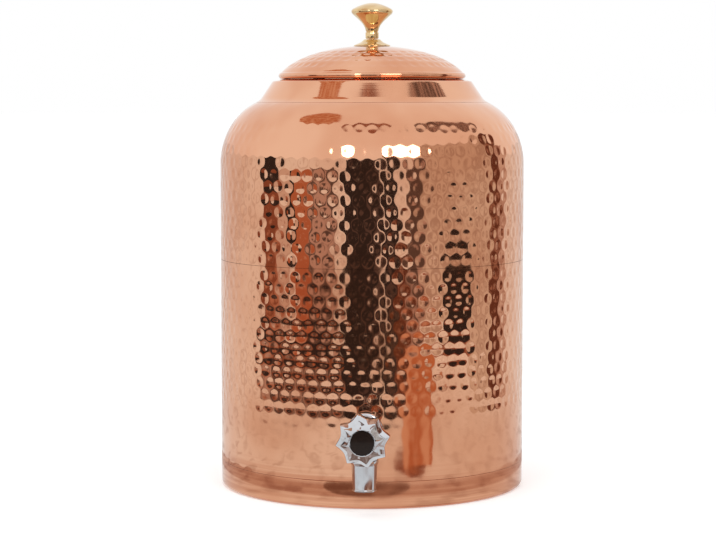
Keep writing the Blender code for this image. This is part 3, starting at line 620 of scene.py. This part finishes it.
def strike_rows(rows, per_row, seed, wander, strength=None):
    """Places of the blows, from (radius, height) rows, with the smith's unevenness in metres."""
    chance = random.Random(seed)
    blows = []
    for number, (radius, height) in enumerate(rows):
        phase = 0.5 * (number % 2) + chance.uniform(-ROW_SHIFT, ROW_SHIFT)
        row_strength = strength(height) if strength else 1.0
        for i in range(per_row):
            angle = math.tau * (i + phase) / per_row + chance.uniform(-wander, wander) / radius
            struck_height = height + chance.uniform(-wander, wander)
            place = (radius * math.cos(angle), radius * math.sin(angle), struck_height)
            blows.append((place, row_strength * chance.uniform(WEAKEST, STRONGEST)))
    return blows


def hammer(piece, blows, reach, depth, inside_point):
    """Sinks the outer face of a shell at each blow."""
    tree = KDTree(len(blows))
    for i, (place, force) in enumerate(blows):
        tree.insert(place, i)
    tree.balance()
    struck = piece.vertex_groups.new(name="struck")
    inside_point = Vector(inside_point)
    for vertex in piece.data.vertices:
        if vertex.normal.dot(vertex.co - inside_point) <= 0:
            continue
        place, i, distance = tree.find(vertex.co)
        force = blows[i][1]
        inside = 1.0 - (distance / reach) ** 2
        if inside > 0:
            struck.add([vertex.index], force * inside ** BOWL_POWER / STRONGEST, "REPLACE")
    use_modifier(
        piece, "DISPLACE", direction="NORMAL", mid_level=0.0, strength=-depth * STRONGEST,
        vertex_group=struck.name
    )
    piece.vertex_groups.clear()
    print(piece.name, "struck", len(blows), "times")


BLOWS_PER_ROW = 76
ROW_RISE = 0.0081
BLOW_REACH, BLOW_DEPTH = 0.0040, 0.00029
WALL_SIDES = BLOWS_PER_ROW * 8
FINE_STEP, PLAIN_STEP, COARSE_STEP = ROW_RISE / 8, 0.0035, 0.02
WANDER = 0.0005
FIRST_ROW, LOWER_ROWS = 0.0335, 16
apart = math.tau * WALL_RADIUS / BLOWS_PER_ROW
print("one row has", BLOWS_PER_ROW, "blows,", round(apart * 1000, 2), "mm apart")

# %% [markdown]
# ## The lower wall
#
# The lower half of the wall is rolled sheet. Its foot tucks inside the base pan and its top inside the upper
# half, which leaves the two fine dark lines round the tank. The outside needs a fine grid for the dimples and
# the hidden inside can stay coarse, so the section has close points outside and far ones inside.

# %% Roll and hammer the lower wall
LAP, JOGGLE = 0.0065, 0.0001
skirt_joint = SKIRT_TOP + GAP
last_row = FIRST_ROW + (LOWER_ROWS - 1) * ROW_RISE
section = [
    (TONGUE_RADIUS, skirt_joint - LAP), (TONGUE_RADIUS, skirt_joint), (WALL_RADIUS, skirt_joint + JOGGLE),
]
section += run_to(section[-1], (WALL_RADIUS, FIRST_ROW - BLOW_REACH), PLAIN_STEP)
section += run_to(section[-1], (WALL_RADIUS, last_row + BLOW_REACH), FINE_STEP)
section += run_to(section[-1], (WALL_RADIUS, SEAM_HEIGHT - JOGGLE), FINE_STEP)
section += [(TONGUE_RADIUS, SEAM_HEIGHT), (TONGUE_RADIUS, SEAM_HEIGHT + LAP)]
section += [(TONGUE_RADIUS - SHEET, SEAM_HEIGHT + LAP), (TONGUE_RADIUS - SHEET, SEAM_HEIGHT)]
section += [(WALL_RADIUS - SHEET, SEAM_HEIGHT - JOGGLE)]
section += run_to(section[-1], (WALL_RADIUS - SHEET, skirt_joint + JOGGLE), COARSE_STEP)
section += [(TONGUE_RADIUS - SHEET, skirt_joint), (TONGUE_RADIUS - SHEET, skirt_joint - LAP)]
lower_wall = turn_upright("hammered_lower_wall", section, WALL_SIDES)
rows = [(WALL_RADIUS, FIRST_ROW + i * ROW_RISE) for i in range(LOWER_ROWS)]
FAINTEST, FADE_START, FADE_RISE = 0.07, 0.056, 0.009


def lower_strength(height):
    """The blows fade out over the lowest four rows."""
    return max(FAINTEST, min(1.0, (height - FADE_START) / FADE_RISE))


blows = strike_rows(rows, BLOWS_PER_ROW, seed=11, wander=WANDER, strength=lower_strength)
hammer(lower_wall, blows, BLOW_REACH, BLOW_DEPTH, inside_point=(0, 0, 0.09))

# %% Drill the hole for the tap
TAP_HOLE = 0.0083
bpy.ops.object.select_all(action="DESELECT")
bpy.ops.mesh.primitive_cylinder_add(
    vertices=64, radius=TAP_HOLE, depth=0.012, location=(0, -WALL_RADIUS, TAP_HEIGHT),
    rotation=(math.pi / 2, 0, 0)
)
cut_or_join(lower_wall, bpy.context.object, "DIFFERENCE")
hand_over(lower_wall, "tank", ["lower_shell"], hammered_copper, smooth_degrees=50.0)

# %% [markdown]
# ## The upper wall and shoulder
#
# The upper half runs straight up and then turns in over a shoulder shaped like a quarter of an ellipse. The
# smith hammered it about half of the way over the shoulder and left the rest smooth. The rows follow the
# metal, so beyond the straight wall they are spaced along the curve and not by height.

# %% Measure along the shoulder
DEGREE_STEP = 0.25
QUARTER_LENGTH = 0.0705


def shoulder_point(degrees, inset=0.0):
    return round_arc(
        (WALL_RADIUS - SHOULDER_ACROSS, SHOULDER_START), SHOULDER_ACROSS - inset, SHOULDER_UP - inset,
        degrees, degrees, 1
    )[0]


def along_shoulder(distance):
    """The angle at which the shoulder's curve has run this far from its start."""
    angle, walked, before = 0.0, 0.0, Vector(shoulder_point(0.0))
    while walked < distance:
        angle += DEGREE_STEP
        here = Vector(shoulder_point(angle))
        walked += (here - before).length
        before = here
    return angle


print("the shoulder ends", round(shoulder_point(SHOULDER_END_DEGREES)[1], 4), "m up")

# %% Roll and hammer the upper wall
UPPER_FIRST_ROW = SEAM_HEIGHT + 0.0052
SHOULDER_ROWS = 4
SMOOTH_STEPS, INNER_STEPS = 14, 12
straight = SHOULDER_START - UPPER_FIRST_ROW
row_count = int(straight / ROW_RISE) + 1 + SHOULDER_ROWS
rows = []
for i in range(row_count):
    distance = i * ROW_RISE
    if distance <= straight:
        rows.append((WALL_RADIUS, UPPER_FIRST_ROW + distance))
    else:
        rows.append(shoulder_point(along_shoulder(distance - straight)))
hammered_until = along_shoulder((row_count - 1) * ROW_RISE - straight + BLOW_REACH)

section = [(WALL_RADIUS, SEAM_HEIGHT + GAP / 3)]
section += run_to(section[0], (WALL_RADIUS, SHOULDER_START), FINE_STEP)
steps = round((hammered_until / 90) * QUARTER_LENGTH / FINE_STEP)
section += [shoulder_point(hammered_until * i / steps) for i in range(1, steps + 1)]
rest = SHOULDER_END_DEGREES - hammered_until
section += [shoulder_point(hammered_until + rest * i / SMOOTH_STEPS) for i in range(1, SMOOTH_STEPS + 1)]
section += [shoulder_point(SHOULDER_END_DEGREES * i / INNER_STEPS, SHEET) for i in range(INNER_STEPS, -1, -1)]
section += run_to(section[-1], (WALL_RADIUS - SHEET, SEAM_HEIGHT + GAP / 3), COARSE_STEP)
upper_wall = turn_upright("hammered_upper_wall", section, WALL_SIDES)
blows = strike_rows(rows, BLOWS_PER_ROW, seed=23, wander=WANDER)
hammer(upper_wall, blows, BLOW_REACH, BLOW_DEPTH, inside_point=(0, 0, 0.19))
hand_over(upper_wall, "tank", ["upper_shell"], hammered_copper, smooth_degrees=50.0)

# %% [markdown]
# ## The neck collar
#
# The smooth cone above the shoulder was spun on its own and soldered on. Its foot follows the shoulder for a few
# millimetres, its top is a flat ledge, and its inner edge rolls up and over into the mouth, where the lid's
# ring hangs. A Solidify modifier gives the swept line its thickness of sheet.

# %% Spin the neck collar
LEDGE_CORNER, MOUTH_BEND = 0.0015, 0.0018
CONE_FOOT, CONE_TOE = 0.2736, 0.2726
mouth_crest, ledge_edge = (0.0641, 0.2876), (0.0695, 0.2863)
bend_centre = (mouth_crest[0], mouth_crest[1] - MOUTH_BEND)
line = [(0.0623, 0.2801), (0.0623, bend_centre[1])]
line += round_arc(bend_centre, MOUTH_BEND, MOUTH_BEND, 180, 78, steps=8)
line += run_to(line[-1], ledge_edge, step=0.002)
line += round_arc((ledge_edge[0], ledge_edge[1] - LEDGE_CORNER), LEDGE_CORNER, LEDGE_CORNER, 78, 32, steps=5)
line += run_to(line[-1], (0.07855, 0.27393), step=0.0015)
line += [(0.0791, 0.27345), (0.0797, 0.27290), (0.0803, 0.27245), (0.0811, 0.27195), (0.0819, 0.27150)]
collar = turn_upright("spun_neck_collar", line, FINE_SIDES, closed=False)
# The foot of the cone is filed thin, so that it lies close to the shoulder
full_sheet = collar.vertex_groups.new(name="full_sheet")
full_sheet.add([v.index for v in collar.data.vertices if v.co.z > CONE_FOOT], 1.0, "REPLACE")
full_sheet.add([v.index for v in collar.data.vertices if CONE_TOE < v.co.z < CONE_FOOT], 0.3, "REPLACE")
use_modifier(
    collar, "SOLIDIFY", thickness=SHEET, offset=-1.0, use_even_offset=True, vertex_group=full_sheet.name,
    thickness_vertex_group=0.08
)
collar.vertex_groups.clear()
hand_over(collar, "tank", ["neck_collar"], spun_copper)

# %% [markdown]
# ## The lid
#
# The lid is a low dome with its rim curled round into a bead. It carries four rows of lighter blows, which show
# as short marks above the bead. It is drawn as one line from the screw hole to the end of the curl, swept,
# struck, and then given its thickness, so that the blows show as bumps on the underside too.

# %% Raise, curl and hammer the lid
BEAD, SCREW_HOLE = 0.0022, 0.0022
bead_centre = (0.0640, 0.2901)
dome_centre = (0.0, 0.2822)
DOME_ACROSS, DOME_UP = 0.0686, 0.0291
LID_APART, LID_WANDER, LID_SEED = 0.0074, 0.0003, 31
LID_REACH, LID_DEPTH = 0.0034, 0.0005
dome_end = math.degrees(math.acos(bead_centre[0] / DOME_ACROSS))
dome_start = math.degrees(math.acos(SCREW_HOLE / DOME_ACROSS))
line = round_arc(dome_centre, DOME_ACROSS, DOME_UP, dome_start, dome_end, steps=74)
line += round_arc(bead_centre, BEAD, BEAD, 84, -210, steps=22)
lid = turn_upright("hammered_lid", line, FINE_SIDES, closed=False)
blows = []
for number, radius in enumerate((0.0585, 0.0520, 0.0455, 0.0390)):
    height = dome_centre[1] + DOME_UP * math.sqrt(1 - (radius / DOME_ACROSS) ** 2)
    per_row = round(math.tau * radius / LID_APART)
    blows += strike_rows([(radius, height)], per_row, LID_SEED + number, LID_WANDER)
hammer(lid, blows, LID_REACH, LID_DEPTH, inside_point=(0, 0, 0.24))
use_modifier(lid, "SOLIDIFY", thickness=SHEET, offset=-1.0, use_even_offset=False)
hand_over(lid, "lid", ["lid_dome"], spun_copper, smooth_degrees=50.0)

# %% [markdown]
# ## The brass knob
#
# The lid's knob was turned from brass bar: a plain collar, a groove and a wide head with a low dome. Its flare
# is drawn through a few measured points with a smooth curve between them, and the collar gets rounded corners,
# because brass that has been polished has no sharp edge left.

# %% Draw smooth curves and soft corners
LARGEST_CUT, ON_AXIS = 0.45, 0.00001


def smooth_through(points, steps):
    """A Catmull-Rom curve through the points."""
    points = [Vector(p) for p in points]
    padded = [points[0] * 2 - points[1]] + points + [points[-1] * 2 - points[-2]]
    curve = [tuple(points[0])]
    for before, start, end, after in zip(padded, padded[1:], padded[2:], padded[3:]):
        for i in range(1, steps + 1):
            t = i / steps
            place = 0.5 * (
                2 * start + (end - before) * t + (2 * before - 5 * start + 4 * end - after) * t * t
                + (3 * start - before - 3 * end + after) * t ** 3
            )
            curve.append(tuple(place))
    return curve


def soft_corners(section, cut):
    """Replaces each corner of a closed section by a short round of three points."""
    soft = []
    for before, here, after in zip(section[-1:] + section[:-1], section, section[1:] + section[:1]):
        before, here, after = Vector(before), Vector(here), Vector(after)
        near = here + (before - here).normalized() * min(cut, (before - here).length * LARGEST_CUT)
        far = here + (after - here).normalized() * min(cut, (after - here).length * LARGEST_CUT)
        if here.x < ON_AXIS or (near - far).length < ON_AXIS:
            soft.append(tuple(here))
            continue
        middle = (near + here * 2 + far) / 4
        soft += [tuple(near), tuple(middle), tuple(far)]
    return soft


print("curves are ready for the knob")

# %% Turn the knob and its rose
KNOB_BASE, KNOB_RISE = 0.3161, 0.0253
HOLE_TOP = 0.3254
KNOB_SIDES = 96
# Radius in metres, and height as a share of the knob's rise
collar_line = [
    (SCREW_HOLE, 0.0), (0.0043, 0.0), (0.0043, 0.012), (0.0047, 0.022), (0.0047, 0.175), (0.0041, 0.188),
    (0.0041, 0.205),
]
flare_line = [
    (0.0046, 0.215), (0.0047, 0.25), (0.0051, 0.31), (0.0062, 0.39), (0.0078, 0.47), (0.0099, 0.55),
    (0.0122, 0.63), (0.0139, 0.69), (0.01455, 0.735), (0.0147, 0.775), (0.0141, 0.815), (0.0126, 0.855),
    (0.0102, 0.902), (0.0071, 0.948), (0.0036, 0.986), (0.0, 1.0),
]
section = soft_corners([(r, KNOB_BASE + h * KNOB_RISE) for r, h in collar_line], cut=0.00022)
section += smooth_through([(r, KNOB_BASE + h * KNOB_RISE) for r, h in flare_line], steps=4)[1:]
section += [(0, HOLE_TOP), (SCREW_HOLE, HOLE_TOP)]
knob = turn_upright("turned_lid_knob", section, KNOB_SIDES)
hand_over(knob, "lid", ["lid_knob"], turned_brass)

rose_line = [
    (SCREW_HOLE, 0.31156), (0.0070, 0.31136), (0.0130, 0.31096), (0.0130, 0.31156), (0.0112, 0.31236),
    (0.0080, 0.31375), (0.0062, 0.31520), (0.0056, 0.31578), (SCREW_HOLE, 0.31578),
]
rose = turn_upright("turned_rose", soft_corners(rose_line, cut=0.00035), KNOB_SIDES)
hand_over(rose, "lid", ["knob_rose"], turned_brass)

# %% [markdown]
# ## The tap's casting
#
# The tap body is one casting: a threaded tail through the wall, a flange against the gasket, a barrel with the
# valve seat inside, and a boss underneath that holds the spout. The turned body and the boss are joined by a
# Boolean, and the waterway is cut last, as a drill would do it, so that the chamber stays open.

# %% Join and drill the tap body
TAP_SIDES = 72
FLANGE_BACK, BARREL_FRONT = 0.1106, 0.1406
# Radius and distance from the tank's axis
outside = [
    (0, 0.0892), (0.0073, 0.0892), (0.0078, 0.0897), (0.0078, FLANGE_BACK), (0.0117, FLANGE_BACK),
    (0.0120, 0.1109), (0.0120, 0.1126), (0.0118, 0.1131), (0.0113, 0.1136), (0.0110, 0.1137), (0.0107, 0.1139),
    (0.0105, 0.1142), (0.0105, 0.1399), (0.0103, 0.1404), (0.0100, BARREL_FRONT), (0, BARREL_FRONT),
]
tap_body = turn_on_tap_axis("cast_tap_body", outside, TAP_SIDES, closed=False)
BOSS, BOSS_START, BOSS_DROP = 0.0094, 0.0011, 0.0165
boss_section = [
    (0, TAP_HEIGHT - BOSS_START), (BOSS, TAP_HEIGHT - BOSS_START), (BOSS, TAP_HEIGHT - BOSS_DROP + 0.0007),
    (BOSS - 0.0002, TAP_HEIGHT - BOSS_DROP + 0.0002), (BOSS - 0.0007, TAP_HEIGHT - BOSS_DROP),
    (0, TAP_HEIGHT - BOSS_DROP),
]
boss = turn_upright("spout_boss", boss_section, TAP_SIDES, closed=False, axis_y=SPOUT_AXIS_Y)
cut_or_join(tap_body, boss, "UNION")
waterway = [
    (0, 0.0880), (0.0050, 0.0880), (0.0050, 0.1186), (0.0062, 0.1186), (0.0062, 0.1176), (0.0078, 0.1176),
    (0.0078, 0.1420), (0, 0.1420),
]
cut_or_join(tap_body, turn_on_tap_axis("drill_waterway", waterway, TAP_SIDES, closed=False), "DIFFERENCE")
socket_line = [(0, TAP_HEIGHT - 0.0014), (0.0070, TAP_HEIGHT - 0.0014), (0.0070, 0.0350), (0, 0.0350)]
socket = turn_upright("drill_socket", socket_line, TAP_SIDES, closed=False, axis_y=SPOUT_AXIS_Y)
cut_or_join(tap_body, socket, "DIFFERENCE")
hand_over(tap_body, "tank", ["tap_body"], bright_chrome, smooth_degrees=32.0)

# %% [markdown]
# ## The faceted spout
#
# The spout is an eight-sided tube with an edge to the front, a collar at its top and a thin lip round the
# outlet. An eight-sided circle is extruded downwards and narrowed step by step, its end is inset and pushed up
# for the bore, and its outer edges are then bevelled, because chrome needs a rounded edge to catch the light.

# %% Shape the spout
SPOUT_SIDES = 8
PLUG_RADIUS, PLUG_TOP = 0.0067, 0.0432
BEVEL_BELOW, BEVEL_OUTSIDE = 0.0375, 0.0075


def ring_down(stations, radius, height):
    """Extrudes a level ring through (corner radius, height) stations."""
    for next_radius, next_height in stations:
        bpy.ops.mesh.extrude_region_move(TRANSFORM_OT_translate={"value": (0, 0, next_height - height)})
        scale = next_radius / radius
        if scale != 1.0:
            bpy.ops.transform.resize(value=(scale,) * 3, center_override=(0, SPOUT_AXIS_Y, next_height))
        radius, height = next_radius, next_height


def gets_bevel(corner):
    """True for the outer corners of the spout below its plug."""
    from_axis = corner.co - Vector((0, SPOUT_AXIS_Y, corner.co.z))
    return corner.co.z < BEVEL_BELOW and from_axis.length > BEVEL_OUTSIDE


bpy.ops.object.select_all(action="DESELECT")
bpy.ops.mesh.primitive_circle_add(
    vertices=SPOUT_SIDES, radius=PLUG_RADIUS, fill_type="NGON", location=(0, SPOUT_AXIS_Y, PLUG_TOP)
)
spout = bpy.context.object
spout.name = spout.data.name = "faceted_spout"
bpy.ops.object.transform_apply(location=True, rotation=True, scale=True)
bpy.ops.object.mode_set(mode="EDIT")
bpy.ops.mesh.select_all(action="SELECT")
ring_down([
    (0.0067, 0.0372), (0.0094, 0.0372), (0.0094, 0.0356), (0.0086, 0.0343), (0.0077, 0.0181),
    (0.0081, 0.0177), (0.0081, 0.0167), (0.0060, 0.0167), (0.0057, 0.0170), (0.0057, 0.0426),
], PLUG_RADIUS, PLUG_TOP)
bpy.ops.mesh.select_all(action="SELECT")
bpy.ops.mesh.normals_make_consistent(inside=False)
bpy.ops.mesh.select_all(action="DESELECT")
bpy.ops.object.mode_set(mode="OBJECT")
shaped = bmesh.new()
shaped.from_mesh(spout.data)
for edge in shaped.edges:
    edge.select = all(gets_bevel(corner) for corner in edge.verts)
shaped.to_mesh(spout.data)
shaped.free()
bpy.ops.object.mode_set(mode="EDIT")
bpy.ops.mesh.select_mode(type="EDGE")
bpy.ops.mesh.bevel(offset=0.00022, segments=3, profile=0.5, clamp_overlap=True)
bpy.ops.mesh.select_mode(type="VERT")
bpy.ops.object.mode_set(mode="OBJECT")
hand_over(spout, "tank", ["tap_spout"], bright_chrome, smooth_degrees=22.0)

# %% [markdown]
# ## The star knob
#
# The tap's handle is a die-cast star with eight pointed lobes and round flutes between them. Its front edge is
# cut back by a sloping flank, and a crown rises from there to a bright ring. A circle is pressed into a star by
# scaling matching points together, and that ring is extruded to the front. At the badge the flutes run out.

# %% Define how a ring is pressed into a star
LOBES, POINTS_PER_LOBE = 8, 24
STAR_TURN = math.radians(10.0)
STAR_BACK, STAR_FRONT = 0.1472, 0.1637


def star_reach(radius, flute, step):
    return radius - flute * abs(math.sin(math.pi * step / POINTS_PER_LOBE))


def select_ring(ring, step=None):
    """Selects the points of a ring: all of them, or those this many steps from a lobe's tip."""
    mesh = bmesh.from_edit_mesh(bpy.context.object.data)
    mesh.verts.ensure_lookup_table()
    for vertex in mesh.verts:
        vertex.select_set(False)
    for index in ring:
        vertex = mesh.verts[index]
        turn = math.atan2(vertex.co.z - TAP_HEIGHT, vertex.co.x) - STAR_TURN
        past_tip = round(turn / math.tau * LOBES * POINTS_PER_LOBE) % POINTS_PER_LOBE
        vertex.select_set(step in (None, min(past_tip, POINTS_PER_LOBE - past_tip)))
    mesh.select_flush_mode()
    bmesh.update_edit_mesh(bpy.context.object.data)


def press_ring(before, after, distance):
    """Scales the points of the selected ring, group by group, from one star outline to another."""
    mesh = bmesh.from_edit_mesh(bpy.context.object.data)
    ring = [v.index for v in mesh.verts if v.select]
    for step in range(POINTS_PER_LOBE // 2 + 1):
        select_ring(ring, step)
        scale = star_reach(*after, step) / star_reach(*before, step)
        bpy.ops.transform.resize(value=(scale,) * 3, center_override=(0, -distance, TAP_HEIGHT))
    select_ring(ring)


def star_stations(stations, first):
    """Extrudes a star ring through (radius, flute, distance from the tank's axis) stations."""
    radius, flute, distance = first
    for next_radius, next_flute, next_distance in stations:
        bpy.ops.mesh.extrude_region_move(TRANSFORM_OT_translate={"value": (0, distance - next_distance, 0)})
        press_ring((radius, flute), (next_radius, next_flute), next_distance)
        radius, flute, distance = next_radius, next_flute, next_distance


print("the star has", LOBES, "lobes of", POINTS_PER_LOBE, "points")

# %% Press and extrude the star knob
HUB_RADIUS, HUB_BACK = 0.0112, 0.1532
bpy.ops.object.select_all(action="DESELECT")
bpy.ops.mesh.primitive_circle_add(
    vertices=LOBES * POINTS_PER_LOBE, radius=HUB_RADIUS, fill_type="NGON", location=(0, -HUB_BACK, TAP_HEIGHT),
    rotation=(math.pi / 2, -STAR_TURN, 0)
)
star_knob = bpy.context.object
star_knob.name = star_knob.data.name = "star_knob"
bpy.ops.object.transform_apply(location=True, rotation=True, scale=True)
bpy.ops.object.mode_set(mode="EDIT")
bpy.ops.mesh.select_all(action="SELECT")
star_stations([
    (0.0112, 0.0, 0.1474), (0.0114, 0.0, STAR_BACK), (0.0173, 0.0031, STAR_BACK), (0.0178, 0.0032, 0.1476),
    (0.0178, 0.0032, 0.1540), (0.0177, 0.0032, 0.1545), (0.0174, 0.0032, 0.1550), (0.0147, 0.0028, 0.1592),
    (0.0143, 0.0027, 0.1596), (0.0138, 0.0026, 0.1600), (0.0114, 0.0013, 0.1615), (0.0092, 0.0001, 0.1629),
    (0.0088, 0.0, 0.1633), (0.0088, 0.0, 0.1635), (0.0086, 0.0, STAR_FRONT), (0.0083, 0.0, STAR_FRONT),
    (0.0081, 0.0, 0.1635), (0.0081, 0.0, 0.1617),
], (HUB_RADIUS, 0.0, HUB_BACK))
bpy.ops.mesh.select_all(action="SELECT")
bpy.ops.mesh.remove_doubles(threshold=SAME_POINT)
bpy.ops.mesh.normals_make_consistent(inside=False)
bpy.ops.object.mode_set(mode="OBJECT")
hand_over(star_knob, "handle", ["tap_knob"], bright_chrome, smooth_degrees=28.0)

# %% [markdown]
# ## The badge
#
# The round place in the middle of the knob holds a disc of dark enamel under a clear, slightly domed coat. It
# is left bare. The dome is a drawn section swept round the tap's axis.

# %% Turn the badge
badge_line = [
    (0, 0.1620), (0.0076, 0.1620), (0.0078, 0.1622), (0.0078, 0.1628), (0.0076, 0.1630), (0.0060, 0.16318),
    (0.0040, 0.16329), (0.0020, 0.16336), (0, 0.1634),
]
badge = turn_on_tap_axis("enamel_badge", badge_line, KNOB_SIDES, closed=False)
hand_over(badge, "handle", ["knob_badge"], dark_enamel)

# %% [markdown]
# ## The pieces that keep their measured shape
#
# The gaskets, washers, nut, bonnet, valve and screws are small and mostly hidden. Their measured solids already
# have the right shape, so they only need the right finish.

# %% Finish the small pieces
FINISH_BY_SLOT = {
    "copper": spun_copper, "brass": turned_brass, "chrome": bright_chrome, "steel": plain_steel,
    "rubber": black_rubber, "badge": dark_enamel,
}
slots = {part["node"]: part["material_slot"] for part in frame["record"]["subparts"]}
for name, node in frame["nodes"].items():
    node.data.materials.clear()
    node.data.materials.append(FINISH_BY_SLOT[slots[name]])
print("finished", len(slots), "measured pieces")
